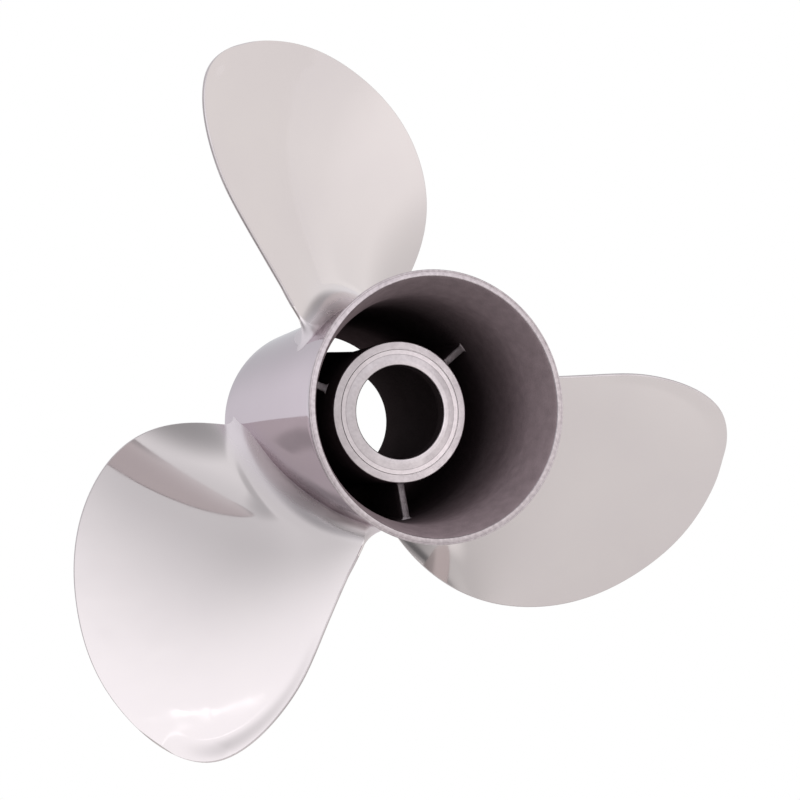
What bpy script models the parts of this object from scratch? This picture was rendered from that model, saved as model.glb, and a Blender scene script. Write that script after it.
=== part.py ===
"""Three-blade right-hand propeller with its exhaust passage through the hub.

The shaft axis is the world Y axis. The open mouth of the barrel faces -Y, which
is aft, and the first blade points up. The origin lies on the shaft axis, in the
plane of the inner hub's front face. All sizes are in metres.
"""

import math

import bpy
import bmesh
import numpy as np

# Fit between neighbouring pieces of the casting
GAP = 0.0003

# Barrel, the outer shell, measured along the axis and out from it
MOUTH_Y = -0.1240
BARREL_FRONT_Y = 0.0263
OUTER_TAPER_AFT_RADIUS = 0.0496
OUTER_FRONT_RADIUS = 0.0448
INNER_TAPER_AFT_RADIUS = 0.0466
INNER_FRONT_RADIUS = 0.0423
FLARE_RISE = 0.0044
FLARE_DEPTH = 0.0180
OUTER_FLARE_POWER = 1.8
INNER_FLARE_POWER = 1.3
RIM_CHAMFER = 0.0010

# Inner hub and the ring pressed into its aft end
HUB_AFT_Y = -0.0823
HUB_AFT_RADIUS = 0.0294
HUB_WAIST_Y = -0.0390
HUB_WAIST_RADIUS = 0.0288
HUB_FRONT_RADIUS = 0.0319
HUB_CHAMFER = 0.0005
HUB_OPENING_RADIUS = 0.0255
HUB_CAVITY_RADIUS = 0.0250
RING_SEAT_RADIUS = 0.0262
RING_SEAT_DEPTH = 0.0120
RING_STEP_RADIUS = 0.0238
RING_LIP_RISE = 0.0003
RING_INNER_RADIUS = 0.0225
BORE_RADIUS = 0.0194
BORE_CHAMFER = 0.0006
BORE_LENGTH = 0.0055

# Ribs that carry the hub inside the barrel
RIB_COUNT = 3
RIB_FIRST_ANGLE = math.radians(68.5)
RIB_AFT_Y = -0.0690
RIB_FRONT_Y = -0.0040
RIB_HALF_THICKNESS = 0.0016
RIB_FILLET = 0.0012

# Blades: the aft face is a screw surface, raked aft, with its own outline
BLADE_COUNT = 3
BLADE_Y = -0.0488
RAKE = math.tan(math.radians(12.0))
RAKE_START_RADIUS = 0.0540
RAKE_CURVE = -0.5133
PITCH_RADII = (0.0540, 0.1080, 0.1620)
PITCHES = (0.3757, 0.3448, 0.3513)
BEND_RADIUS = 0.1080
BEND = -0.0041
BEND_GROWTH = 0.0596
EDGE_ROLL = 0.0174
EDGE_ROLL_GROWTH = 0.1144
EDGE_CURL = -0.0179
ROOT_THICKNESS = 0.0090
TIP_THICKNESS = 0.0020
THICKNESS_POWER = 1.2
SECTION_POWER = 2.2
EDGE_RADIUS = 0.0009
TIP_MARGIN = 0.0001
BLADE_FILLET = 0.0135
TRAILING_FILLET = 0.0090
LEADING_FILLET = 0.0050
FILLET_POWER = 3.5
ROOT_BLEND_HEIGHT = 0.0600

# Cup: the aft curl along the outer trailing edge
CUP_START_RADIUS = 0.0950
CUP_FULL_RADIUS = 0.1520
CUP_TIP_ANGLE = math.radians(-5.0)
CUP_TIP_FADE = math.radians(8.0)
CUP_WIDTH = 0.0045
CUP_WIDENING = 0.0045
CUP_DEPTH = 0.0015

# Control points of the blade's outline, leading edge first: radius and angle
OUTLINE = (
    (0.0424, 45.5),
    (0.0859, 52.0),
    (0.1290, 36.1),
    (0.1540, 15.8),
    (0.1661, 2.8),
    (0.1694, -13.7),
    (0.1195, -21.5),
    (0.1029, -21.6),
    (0.0698, -24.9),
)
TRAILING_FOOT = (0.0480, -29.5)

# Fineness of the meshes
BARREL_SEGMENTS = 72
HUB_SEGMENTS = 48
TAPER_STEPS = 4
FLARE_STEPS = 4
CHORD_STEPS = 16
ARC_STEPS = 3
FILLET_STEPS = 5
RIB_FILLET_STEPS = 2
SPAN_STEPS = 24
OUTLINE_SAMPLES = 1200
SHARP_DEGREES = 35.0
SLOPE_STEP = 1e-4
BEFORE_END = 1.0 - 1e-9


def clear_scene():
    for item in list(bpy.data.objects):
        bpy.data.objects.remove(item, do_unlink=True)


def metal(name, colour, roughness):
    material = bpy.data.materials.new(name)
    material.use_nodes = True
    shader = material.node_tree.nodes["Principled BSDF"]
    shader.inputs["Base Color"].default_value = (*colour, 1.0)
    shader.inputs["Metallic"].default_value = 1.0
    shader.inputs["Roughness"].default_value = roughness
    material.diffuse_color = (*colour, 1.0)
    return material


def solid(name, vertices, faces, material):
    """Makes one closed, smooth-shaded object from points and faces."""
    mesh = bpy.data.meshes.new(name)
    mesh.from_pydata([tuple(v) for v in vertices], [], faces)
    work = bmesh.new()
    work.from_mesh(mesh)
    bmesh.ops.recalc_face_normals(work, faces=work.faces)
    work.to_mesh(mesh)
    work.free()
    mesh.shade_smooth()
    mesh.set_sharp_from_angle(angle=math.radians(SHARP_DEGREES))
    mesh.materials.append(material)
    item = bpy.data.objects.new(name, mesh)
    bpy.context.scene.collection.objects.link(item)
    return item


def polar(radius, angle, y):
    """A point at an angle clockwise from straight up, seen from aft."""
    return (radius * math.sin(angle), y, radius * math.cos(angle))


def turned(name, profile, segments, material):
    """Turns a closed profile of (radius, y) points about the shaft axis."""
    count = len(profile)
    vertices = []
    for step in range(segments):
        angle = 2.0 * math.pi * step / segments
        vertices += [polar(radius, angle, y) for radius, y in profile]
    faces = []
    for step in range(segments):
        here = step * count
        there = ((step + 1) % segments) * count
        for i in range(count):
            j = (i + 1) % count
            faces.append((here + i, here + j, there + j, there + i))
    return solid(name, vertices, faces, material)


def taper(aft_radius, front_radius, y):
    share = (y - MOUTH_Y) / (BARREL_FRONT_Y - MOUTH_Y)
    return aft_radius + (front_radius - aft_radius) * share


def flare(y, power):
    share = 1.0 - (y - MOUTH_Y) / FLARE_DEPTH
    return FLARE_RISE * max(0.0, share) ** power


def barrel_outer(y):
    return taper(OUTER_TAPER_AFT_RADIUS, OUTER_FRONT_RADIUS, y) + flare(y, OUTER_FLARE_POWER)


def barrel_inner(y):
    return taper(INNER_TAPER_AFT_RADIUS, INNER_FRONT_RADIUS, y) + flare(y, INNER_FLARE_POWER)


def hub_outer(y):
    stations = (HUB_AFT_Y, HUB_WAIST_Y, 0.0)
    return float(np.interp(y, stations, (HUB_AFT_RADIUS, HUB_WAIST_RADIUS, HUB_FRONT_RADIUS)))


def barrel_profile():
    flare_end = MOUTH_Y + FLARE_DEPTH
    stations = list(np.linspace(MOUTH_Y + RIM_CHAMFER, flare_end, FLARE_STEPS + 1))
    stations += list(np.linspace(flare_end, BARREL_FRONT_Y - RIM_CHAMFER, TAPER_STEPS + 1))[1:]
    outside = [(barrel_outer(y), y) for y in stations]
    inside = [(barrel_inner(y), y) for y in stations]
    inside[0] = (barrel_inner(MOUTH_Y), MOUTH_Y)
    inside[-1] = (INNER_FRONT_RADIUS, BARREL_FRONT_Y)
    rim = [(barrel_outer(MOUTH_Y) - RIM_CHAMFER, MOUTH_Y)]
    front = [(OUTER_FRONT_RADIUS - RIM_CHAMFER, BARREL_FRONT_Y)]
    return rim + outside + front + inside[::-1]


def hub_profile():
    seat_end = HUB_AFT_Y + RING_SEAT_DEPTH
    return [
        (HUB_FRONT_RADIUS - HUB_CHAMFER, 0.0),
        (HUB_FRONT_RADIUS, -HUB_CHAMFER),
        (HUB_WAIST_RADIUS, HUB_WAIST_Y),
        (HUB_AFT_RADIUS, HUB_AFT_Y + HUB_CHAMFER),
        (HUB_AFT_RADIUS - HUB_CHAMFER, HUB_AFT_Y),
        (RING_SEAT_RADIUS, HUB_AFT_Y),
        (RING_SEAT_RADIUS, seat_end),
        (HUB_CAVITY_RADIUS, seat_end),
        (HUB_OPENING_RADIUS, -HUB_CHAMFER),
        (HUB_OPENING_RADIUS + 0.5 * HUB_CHAMFER, 0.0),
    ]


def ring_profile():
    outer = RING_SEAT_RADIUS - GAP
    front = HUB_AFT_Y + RING_SEAT_DEPTH - GAP
    lip_y = HUB_AFT_Y - RING_LIP_RISE
    bore_start = lip_y + BORE_CHAMFER
    bore_end = bore_start + BORE_LENGTH
    return [
        (outer, HUB_AFT_Y),
        (RING_STEP_RADIUS, HUB_AFT_Y),
        (RING_STEP_RADIUS - RING_LIP_RISE, lip_y),
        (BORE_RADIUS + BORE_CHAMFER, lip_y),
        (BORE_RADIUS, bore_start),
        (BORE_RADIUS, bore_end),
        (RING_INNER_RADIUS, bore_end + RING_INNER_RADIUS - BORE_RADIUS),
        (RING_INNER_RADIUS, front),
        (outer, front),
    ]


def fillet_heights(radius, steps):
    """Heights of the stations up a fillet, close together near its foot."""
    turns = np.linspace(math.asin(1.0 - GAP / radius), 0.0, steps + 1)
    return radius * (1.0 - np.sin(turns))


def fillet_spread(height, radius):
    """How far a fillet stands out at one height above its foot."""
    return radius - np.sqrt(radius ** 2 - np.clip(radius - height, 0.0, None) ** 2)


def rib(name, centre_angle, material):
    """A thin web from hub to barrel, with small fillets at both its ends."""
    heights = fillet_heights(RIB_FILLET, RIB_FILLET_STEPS)
    ends = [(height, fillet_spread(height, RIB_FILLET)) for height in heights]
    sections = []
    for y in (RIB_AFT_Y, HUB_WAIST_Y, RIB_FRONT_Y):
        low = hub_outer(y)
        high = barrel_inner(y)
        rows = [(low + height, RIB_HALF_THICKNESS + spread) for height, spread in ends]
        rows += [(high - height, RIB_HALF_THICKNESS + spread) for height, spread in ends[::-1]]
        rows = [(rows[0][0], 0.0)] + rows + [(rows[-1][0], 0.0)]
        right = [polar(r, centre_angle + half / r, y) for r, half in rows]
        left = [polar(r, centre_angle - half / r, y) for r, half in rows[1:-1]]
        sections.append(right + left[::-1])
    vertices, faces, caps = loft(sections)
    return solid(name, vertices, faces + caps, material)


def loft(sections):
    """Joins like sections into a skin, and gives the polygons that close its ends."""
    count = len(sections[0])
    vertices = [point for section in sections for point in section]
    faces = []
    for level in range(len(sections) - 1):
        low = level * count
        high = low + count
        for i in range(count):
            j = (i + 1) % count
            faces.append((low + i, low + j, high + j, high + i))
    last = (len(sections) - 1) * count
    caps = [tuple(range(count)), tuple(last + i for i in range(count))]
    return vertices, faces, caps


def spline_weights(share, count):
    """Weights of the control points of a clamped cubic spline, at one place."""
    degree = 3
    inner = [i / (count - degree) for i in range(count - degree + 1)]
    knots = [0.0] * degree + inner + [1.0] * degree
    share = min(share, BEFORE_END)
    spans = len(knots) - 1
    weights = [1.0 if knots[i] <= share < knots[i + 1] else 0.0 for i in range(spans)]
    for order in range(1, degree + 1):
        for i in range(spans - order):
            left = knots[i + order] - knots[i]
            right = knots[i + order + 1] - knots[i + 1]
            rising = weights[i] * (share - knots[i]) / left if left else 0.0
            falling = weights[i + 1] * (knots[i + order + 1] - share) / right if right else 0.0
            weights[i] = rising + falling
    return weights[:count]


def outline_points():
    """The blade's outline seen along the shaft, as radii and angles."""
    places = [(math.radians(a), r) for r, a in OUTLINE]
    controls = np.array([(r * math.sin(a), r * math.cos(a)) for a, r in places])
    shares = np.linspace(0.0, 1.0, OUTLINE_SAMPLES)
    weights = np.array([spline_weights(share, len(OUTLINE)) for share in shares])
    points = weights @ controls
    return np.hypot(points[:, 0], points[:, 1]), np.arctan2(points[:, 0], points[:, 1])


OUTLINE_RADII, OUTLINE_ANGLES = outline_points()
TIP_INDEX = int(OUTLINE_RADII.argmax())
TIP_RADIUS = float(OUTLINE_RADII[TIP_INDEX])
PITCH_CURVE = np.polyfit(PITCH_RADII, PITCHES, 2)
ROOT_RADIUS = barrel_outer(BLADE_Y)
CUPPED = (OUTLINE_ANGLES < CUP_TIP_ANGLE) & (OUTLINE_RADII > CUP_START_RADIUS)
CUPPED_X = (OUTLINE_RADII * np.sin(OUTLINE_ANGLES))[CUPPED]
CUPPED_Z = (OUTLINE_RADII * np.cos(OUTLINE_ANGLES))[CUPPED]


def edge_angles(radius):
    """Angles of the trailing and the leading edge at one radius."""
    leading = np.interp(radius, OUTLINE_RADII[:TIP_INDEX + 1], OUTLINE_ANGLES[:TIP_INDEX + 1])
    radii = np.append(OUTLINE_RADII[TIP_INDEX:], TRAILING_FOOT[0])
    angles = np.append(OUTLINE_ANGLES[TIP_INDEX:], math.radians(TRAILING_FOOT[1]))
    trailing = np.interp(-radius, -radii, angles)
    return float(trailing), float(leading)


def cup(angles, radius):
    """How far the aft face curls aft, near the outer trailing edge."""
    across = radius * np.sin(angles)[:, None] - CUPPED_X
    up = radius * np.cos(angles)[:, None] - CUPPED_Z
    growth = np.clip((radius - CUP_START_RADIUS) / (CUP_FULL_RADIUS - CUP_START_RADIUS), 0.0, 1.0)
    width = CUP_WIDTH + CUP_WIDENING * growth ** 3
    inward = np.clip(np.hypot(across, up).min(axis=1) / width, 0.0, 1.0)
    fade = np.clip((CUP_TIP_ANGLE - angles) / CUP_TIP_FADE, 0.0, 1.0)
    return CUP_DEPTH * growth * fade * (0.5 + 0.5 * np.cos(math.pi * inward))


def face_y(angles, radius):
    """Where the blade's aft face lies along the shaft."""
    screw = np.polyval(PITCH_CURVE, radius) * angles / (2.0 * math.pi)
    out = radius - RAKE_START_RADIUS
    rake = RAKE * out + RAKE_CURVE * out ** 2
    beyond = radius - BEND_RADIUS
    bend = (BEND + BEND_GROWTH * beyond) * angles ** 2
    roll = (EDGE_ROLL + EDGE_ROLL_GROWTH * beyond) * angles ** 3 + EDGE_CURL * angles ** 4
    return BLADE_Y + screw - rake - bend - roll - cup(angles, radius)


def blade_thickness(radius, shares):
    """Thickness at one radius over shares of the chord, thickest in its middle."""
    height = (radius - ROOT_RADIUS) / (TIP_RADIUS - ROOT_RADIUS)
    middle = TIP_THICKNESS + (ROOT_THICKNESS - TIP_THICKNESS) * max(0.0, 1.0 - height) ** THICKNESS_POWER
    edge = 2.0 * EDGE_RADIUS
    return edge + (middle - edge) * (1.0 - np.abs(2.0 * shares - 1.0) ** SECTION_POWER)


def section_frame(radius, angles):
    """Points on the aft face, chord directions and normals, on the unrolled cylinder."""
    slope = (face_y(angles + SLOPE_STEP, radius) - face_y(angles - SLOPE_STEP, radius)) / (2.0 * SLOPE_STEP)
    length = np.hypot(radius, slope)
    points = np.stack([radius * angles, face_y(angles, radius)], axis=-1)
    along = np.stack([radius / length, slope / length], axis=-1)
    across = np.stack([-slope / length, radius / length], axis=-1)
    return points, along, across, length


def blade_section(height):
    """Section rows on the unrolled cylinder: aft face, back, trailing arc and leading arc."""
    radius = ROOT_RADIUS + height
    below_tip = min((TIP_RADIUS - radius) / EDGE_RADIUS, 1.0)
    swell = math.sqrt(1.0 - (1.0 - below_tip) ** 2)
    trailing, leading = edge_angles(radius)
    _, _, _, length = section_frame(radius, np.array([trailing]))
    inset = min(EDGE_RADIUS / float(length[0]), 0.5 * (leading - trailing) * swell)
    trailing += inset
    leading -= inset
    shares = 0.5 - 0.5 * np.cos(np.linspace(0.0, math.pi, CHORD_STEPS + 1))
    points, _, across, _ = section_frame(radius, trailing + (leading - trailing) * shares)
    fullness = (1.0 - np.abs(2.0 * shares - 1.0) ** FILLET_POWER) ** 2
    ends = TRAILING_FILLET + (LEADING_FILLET - TRAILING_FILLET) * shares
    fillet = ends + (BLADE_FILLET - ends) * fullness
    spread = fillet_spread(height, fillet)
    sink = EDGE_RADIUS * (1.0 - swell) - spread
    face = points + across * sink[:, None]
    rise = EDGE_RADIUS + (blade_thickness(radius, shares) - EDGE_RADIUS) * swell + spread
    back = points + across * rise[:, None]
    turns = math.pi * (np.arange(1, ARC_STEPS + 1) / (ARC_STEPS + 1) - 0.5)
    arcs = []
    for angle, side, fillet in ((trailing, -1.0, TRAILING_FILLET), (leading, 1.0, LEADING_FILLET)):
        point, along, across, _ = section_frame(radius, np.array([angle]))
        centre = point[0] + across[0] * EDGE_RADIUS
        reach = EDGE_RADIUS * swell + fillet_spread(height, fillet)
        outward = side * np.cos(turns)[:, None] * along[0]
        arcs.append(centre + reach * (outward + np.sin(turns)[:, None] * across[0]))
    return face, back, arcs[0], arcs[1]


def blade(name, turn, material):
    """One blade, its foot following the barrel and flaring out in a fillet."""

    def place(rows, height):
        flat_radius = ROOT_RADIUS + height
        hold = max(0.0, 1.0 - height / ROOT_BLEND_HEIGHT) ** 2
        placed = []
        for along, y in rows:
            radius = flat_radius + hold * (barrel_outer(y) - ROOT_RADIUS)
            placed.append(polar(radius, along / flat_radius + turn, y))
        return placed

    heights = list(fillet_heights(BLADE_FILLET, FILLET_STEPS))
    span = TIP_RADIUS - TIP_MARGIN - ROOT_RADIUS - BLADE_FILLET
    for step in range(1, SPAN_STEPS + 1):
        heights.append(BLADE_FILLET + span * math.sin(0.5 * math.pi * step / SPAN_STEPS))
    sections = []
    for height in heights:
        face, back, trailing_arc, leading_arc = blade_section(height)
        loop = np.concatenate([face, leading_arc, back[::-1], trailing_arc[::-1]])
        sections.append(place(loop, height))
    vertices, faces, caps = loft(sections)
    faces.append(caps[1])
    faces += foot_faces(vertices, place, heights[0])
    return solid(name, vertices, faces, material)


def foot_faces(vertices, place, height):
    """Closes a blade's foot with a grid that lies along the barrel."""
    face, back, _, _ = blade_section(height)
    rows = CHORD_STEPS + 1
    loop_size = 2 * rows + 2 * ARC_STEPS
    inner_shares = np.arange(1, ARC_STEPS + 1) / (ARC_STEPS + 1)
    grid = []
    for i in range(rows):
        start = len(vertices)
        vertices += place([face[i] * (1.0 - share) + back[i] * share for share in inner_shares], height)
        grid.append([i, *range(start, start + ARC_STEPS), 2 * rows + ARC_STEPS - 1 - i])
    leading = [grid[-1][0], *range(rows, rows + ARC_STEPS), grid[-1][-1]]
    trailing = [grid[0][0], *range(loop_size - 1, loop_size - 1 - ARC_STEPS, -1), grid[0][-1]]
    rings = [trailing] + grid + [leading]
    faces = []
    for low, high in zip(rings[:-1], rings[1:]):
        for j in range(ARC_STEPS + 1):
            faces.append(tuple(dict.fromkeys((low[j], low[j + 1], high[j + 1], high[j]))))
    return faces


def build():
    clear_scene()
    barrel_metal = metal("barrel_steel", (0.62, 0.60, 0.61), 0.22)
    blade_metal = metal("blade_steel", (0.70, 0.68, 0.67), 0.12)
    hub_metal = metal("hub_steel", (0.55, 0.52, 0.52), 0.40)
    rib_metal = metal("rib_steel", (0.40, 0.38, 0.38), 0.50)
    ring_metal = metal("ring_steel", (0.66, 0.63, 0.63), 0.35)
    turned("exhaust_barrel", barrel_profile(), BARREL_SEGMENTS, barrel_metal)
    turned("inner_hub", hub_profile(), HUB_SEGMENTS, hub_metal)
    turned("hub_end_ring", ring_profile(), HUB_SEGMENTS, ring_metal)
    for index in range(RIB_COUNT):
        angle = RIB_FIRST_ANGLE + 2.0 * math.pi * index / RIB_COUNT
        rib(f"rib_{index + 1}", angle, rib_metal)
    for index in range(BLADE_COUNT):
        blade(f"blade_{index + 1}", 2.0 * math.pi * index / BLADE_COUNT, blade_metal)


build()
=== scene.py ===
"""Looks of a polished three-blade propeller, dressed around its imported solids.

World axes follow the frame: the shaft lies along Y, the exhaust mouth faces -Y,
the first blade points up. All sizes are in metres.
"""

import math

import bmesh
import bpy
import numpy as np
from mathutils import Matrix, Vector


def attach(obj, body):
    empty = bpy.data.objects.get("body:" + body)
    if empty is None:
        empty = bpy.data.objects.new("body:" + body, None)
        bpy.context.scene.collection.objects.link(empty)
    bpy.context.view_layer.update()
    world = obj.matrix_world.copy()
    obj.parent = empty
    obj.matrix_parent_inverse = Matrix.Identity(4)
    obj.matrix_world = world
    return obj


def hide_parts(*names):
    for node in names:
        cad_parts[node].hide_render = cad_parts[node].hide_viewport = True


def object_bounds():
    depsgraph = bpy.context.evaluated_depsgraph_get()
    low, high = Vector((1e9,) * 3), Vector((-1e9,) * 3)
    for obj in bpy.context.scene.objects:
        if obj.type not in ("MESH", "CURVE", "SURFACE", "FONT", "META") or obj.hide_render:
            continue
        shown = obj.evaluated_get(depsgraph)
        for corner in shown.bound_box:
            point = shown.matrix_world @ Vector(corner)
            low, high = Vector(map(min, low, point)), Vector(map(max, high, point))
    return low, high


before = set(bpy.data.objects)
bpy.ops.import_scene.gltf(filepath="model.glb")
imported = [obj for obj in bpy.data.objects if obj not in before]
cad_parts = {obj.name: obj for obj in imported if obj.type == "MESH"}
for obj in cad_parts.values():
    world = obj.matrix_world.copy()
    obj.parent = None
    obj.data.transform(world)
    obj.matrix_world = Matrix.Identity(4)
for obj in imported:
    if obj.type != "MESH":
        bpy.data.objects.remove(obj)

CAD_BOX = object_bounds()

# Barrel: its main sizes are those of the solids
MOUTH_Y = -0.1240
BARREL_FRONT_Y = 0.0263
OUTER_TAPER_AFT_RADIUS = 0.0496
OUTER_FRONT_RADIUS = 0.0448
INNER_TAPER_AFT_RADIUS = 0.0466
INNER_FRONT_RADIUS = 0.0423
FLARE_RISE = 0.0044
FLARE_DEPTH = 0.0180
OUTER_FLARE_POWER = 1.8
INNER_FLARE_POWER = 1.3
RIM_ROUND = 0.0006
RIM_GROOVE = 0.00012
RIM_GROOVE_WIDTH = 0.00035
SMALL_ROUND = 0.0003

# Inner hub and its end ring
HUB_AFT_Y = -0.0823
HUB_AFT_RADIUS = 0.0294
HUB_WAIST_Y = -0.0390
HUB_WAIST_RADIUS = 0.0288
HUB_FRONT_RADIUS = 0.0319
HUB_ROUND = 0.0005
HUB_OPENING_RADIUS = 0.0255
HUB_CAVITY_RADIUS = 0.0250
RING_SEAT_RADIUS = 0.0262
RING_SEAT_DEPTH = 0.0120
RING_GAP = 0.0003
RING_SEAM = 0.00020
RING_SEAM_DEPTH = 0.00025
RING_STEP_RADIUS = 0.0238
RING_LIP_RISE = 0.0003
RING_STEP_WIDTH = 0.0022
RING_STEP_EDGE = 0.0003
RING_INNER_RADIUS = 0.0225
BORE_RADIUS = 0.0194
BORE_CHAMFER = 0.0006
BORE_LENGTH = 0.0055

# Ribs
RIB_COUNT = 3
RIB_FIRST_ANGLE = math.radians(68.5)
RIB_AFT_Y = -0.0690
RIB_FRONT_Y = -0.0040
RIB_HALF_THICKNESS = 0.0016
RIB_EDGE_ROUND = 0.0004
RIB_FILLET = 0.0012
RIB_SINK = 0.0006

# Blades: the aft face is a screw surface, raked aft, with its own outline
BLADE_COUNT = 3
BLADE_Y = -0.0488
RAKE = math.tan(math.radians(12.0))
RAKE_START_RADIUS = 0.0540
RAKE_CURVE = -0.5133
PITCH_RADII = (0.0540, 0.1080, 0.1620)
PITCHES = (0.3757, 0.3448, 0.3513)
BEND_RADIUS = 0.1080
BEND = -0.0041
BEND_GROWTH = 0.0596
EDGE_ROLL = 0.0174
EDGE_ROLL_GROWTH = 0.1144
EDGE_CURL = -0.0179
ROOT_THICKNESS = 0.0090
TIP_THICKNESS = 0.0020
THICKNESS_POWER = 1.2
SECTION_POWER = 2.2
EDGE_RADIUS = 0.0009
EDGE_TRIM = 0.00015
TIP_MARGIN = 0.00002
BLADE_FILLET = 0.0135
TRAILING_FILLET = 0.0090
LEADING_FILLET = 0.0050
FILLET_POWER = 3.5
ROOT_BLEND_HEIGHT = 0.0600
FOOT_SINK = 0.0005
FOOT_STEP = 0.00004

# Cup: the aft curl along the outer trailing edge
CUP_START_RADIUS = 0.0950
CUP_FULL_RADIUS = 0.1520
CUP_TIP_ANGLE = math.radians(-5.0)
CUP_TIP_FADE = math.radians(8.0)
CUP_WIDTH = 0.0045
CUP_WIDENING = 0.0045
CUP_DEPTH = 0.0015

# Control points of the blade's outline, leading edge first: radius and angle
OUTLINE = (
    (0.0424, 45.5),
    (0.0859, 52.0),
    (0.1290, 36.1),
    (0.1540, 15.8),
    (0.1661, 2.8),
    (0.1694, -13.7),
    (0.1195, -21.5),
    (0.1029, -21.6),
    (0.0698, -24.9),
)
TRAILING_FOOT = (0.0480, -29.5)

# Fineness of the meshes
TURN_STEPS = 480
ROUND_STEPS = 6
FLARE_STEPS = 20
TAPER_STEPS = 12
HUB_STATIONS = 24
RIB_STATIONS = 8
RIB_FIRST_STATION = 0.0060
RIB_FILLET_STEPS = 6
CHORD_STEPS = 80
ARC_STEPS = 14
FILLET_STEPS = 24
SPAN_STEPS = 120
OUTLINE_SAMPLES = 3000
SLOPE_STEP = 1e-4
BEFORE_END = 1.0 - 1e-9

# Edges sharper than these angles, in degrees, aren't shaded smooth
SHARP_ANGLE = 40.0
RIB_SHARP_ANGLE = 50.0
BLADE_SHARP_ANGLE = 60.0

# Material slots: those of the barrel and the hub, of the end ring, of the ribs and of the blades
POLISHED, MACHINED, PASSAGE, CAVITY = 0, 1, 2, 3
RING_FACE, RING_LIP, RING_CAVITY, RING_STEP_SHADE = 0, 1, 2, 3
RIB_EDGE, RIB_SIDE = 0, 1
BLADE_SKIN, BLADE_EDGE = 0, 1

# Polished steel: two mottled colours, the tint at grazing angles, the haze near the shaft, and the
# range of a painted shade
BLADE_COLOURS = ((0.62, 0.565, 0.56), (0.60, 0.545, 0.545))
BLADE_EDGE_TINT = (1.0, 1.0, 1.0)
BLADE_HAZE = 0.22
BLADE_SHADES = (0.99, 1.01)
BARREL_COLOURS = ((0.565, 0.487, 0.525), (0.545, 0.468, 0.505))
BARREL_EDGE_TINT = (0.86, 0.83, 0.85)
BARREL_HAZE = 0.02
BARREL_SHADES = (0.75, 1.106)

# Axes along which painted shades rise, more steeply along a longer one: the barrel is painted
# lighter towards its mouth, and the turned faces darker towards the left, a little also towards
# the top
SHADE_AXIS_TO_MOUTH = (0.0, -8.0, 0.0)
TURNED_SHADE_AXIS = (40.0, 0.0, -16.0)

# Distances from the shaft over which the haze ends, the polishing waves grow from their share
# at the start, and the blades' feet lose the colour of the barrel
HAZE_RADII = (0.050, 0.062)
WAVE_RADII = (0.11, 0.15)
WAVE_START = 0.15
ROOT_RADII = (0.0490, 0.0580)
ROOT_COLOUR = (0.63, 0.570, 0.590)
ROOT_EDGE_TINT = (0.90, 0.87, 0.89)

# Mottled colours of the other steels, and the painted shades of the turned faces
BLADE_EDGE_COLOURS = ((0.54, 0.490, 0.495), (0.49, 0.440, 0.445))
HUB_FACE_COLOURS = ((0.50, 0.445, 0.455), (0.43, 0.38, 0.39))
RING_FACE_COLOURS = ((0.59, 0.525, 0.535), (0.52, 0.46, 0.47))
RING_LIP_COLOURS = ((0.52, 0.465, 0.475), (0.45, 0.40, 0.41))
# A painted shade: the narrow band at the ring's step is darker
RING_STEP_SHADE_COLOURS = ((0.38, 0.335, 0.345), (0.32, 0.28, 0.29))
RIM_COLOURS = ((0.54, 0.475, 0.49), (0.40, 0.345, 0.36))
CAST_COLOURS = ((0.33, 0.29, 0.30), (0.24, 0.20, 0.21))
# The hub's hollow is painted near-black, as shade
CAVITY_COLOURS = ((0.044, 0.034, 0.035), (0.034, 0.025, 0.026))
RING_SHADES = (0.80, 1.35)
RIM_SHADES = (0.99, 1.01)

# Painted shade: the passage is painted paler low and to the right
PASSAGE_SHADE_DIRECTION = (0.5, 0.0, -0.87)
PASSAGE_SHADE_REACH = 0.0400
PASSAGE_SIDE_SHADES = (0.78, 1.20)

# Colours of the exhaust passage, from the mouth inward, darkening deeper in as painted shade:
# depth and colour
PASSAGE_DEPTH = 0.1200
PASSAGE_COLOURS = (
    (0.0000, (0.260, 0.200, 0.212)),
    (0.0200, (0.240, 0.183, 0.195)),
    (0.0350, (0.137, 0.102, 0.109)),
    (0.0600, (0.044, 0.031, 0.034)),
    (0.0900, (0.022, 0.014, 0.015)),
    (0.1200, (0.045, 0.031, 0.033)),
)

# The part of the noise's range that is used
NOISE_RANGE = (0.3, 0.7)

# Camera, from the photograph: it looks at a point near the shaft axis
IMAGE_SIZE = 800.0
FOCAL_PIXELS = 1600.0
SENSOR_MM = 36.0
CAMERA_CLIP_START = 0.01
CAMERA_AZIMUTH = math.radians(-21.76)
CAMERA_ELEVATION = math.radians(3.51)
CAMERA_ROLL = math.radians(-17.61)
CAMERA_DISTANCE = 0.6564
CAMERA_TARGET = (-0.00014, -0.0862, 0.00502)

# Studio floor
FLOOR_SIZE = 8.0
FLOOR_DROP = 0.0002
FLOOR_LEVEL = CAD_BOX[0][2] - FLOOR_DROP
FLOOR_COLOUR = (0.10, 0.10, 0.10)
FLOOR_TINT = (0.995, 1.0, 0.995)
FLOOR_GLOW = 0.985

# Soft round zones on the floor: x, y, full radius, outer radius and change of glow
FLOOR_ZONES = (
    (0.200, -0.700, 0.000, 1.200, 0.234),
    (0.300, -0.100, 0.300, 3.000, 0.055),
    (0.550, 0.250, 0.000, 0.700, -0.080),
    (-0.288, -0.030, 0.025, 0.153, -0.226),
    (-0.878, -0.534, 0.497, 1.039, -0.740),
    (-0.600, -0.160, 0.100, 0.350, -0.280),
    (0.027, 0.036, 0.200, 0.415, -0.256),
    (-0.060, -0.130, 0.000, 0.120, -0.120),
    (-0.117, -0.060, 0.030, 0.060, 0.300),
)

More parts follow.
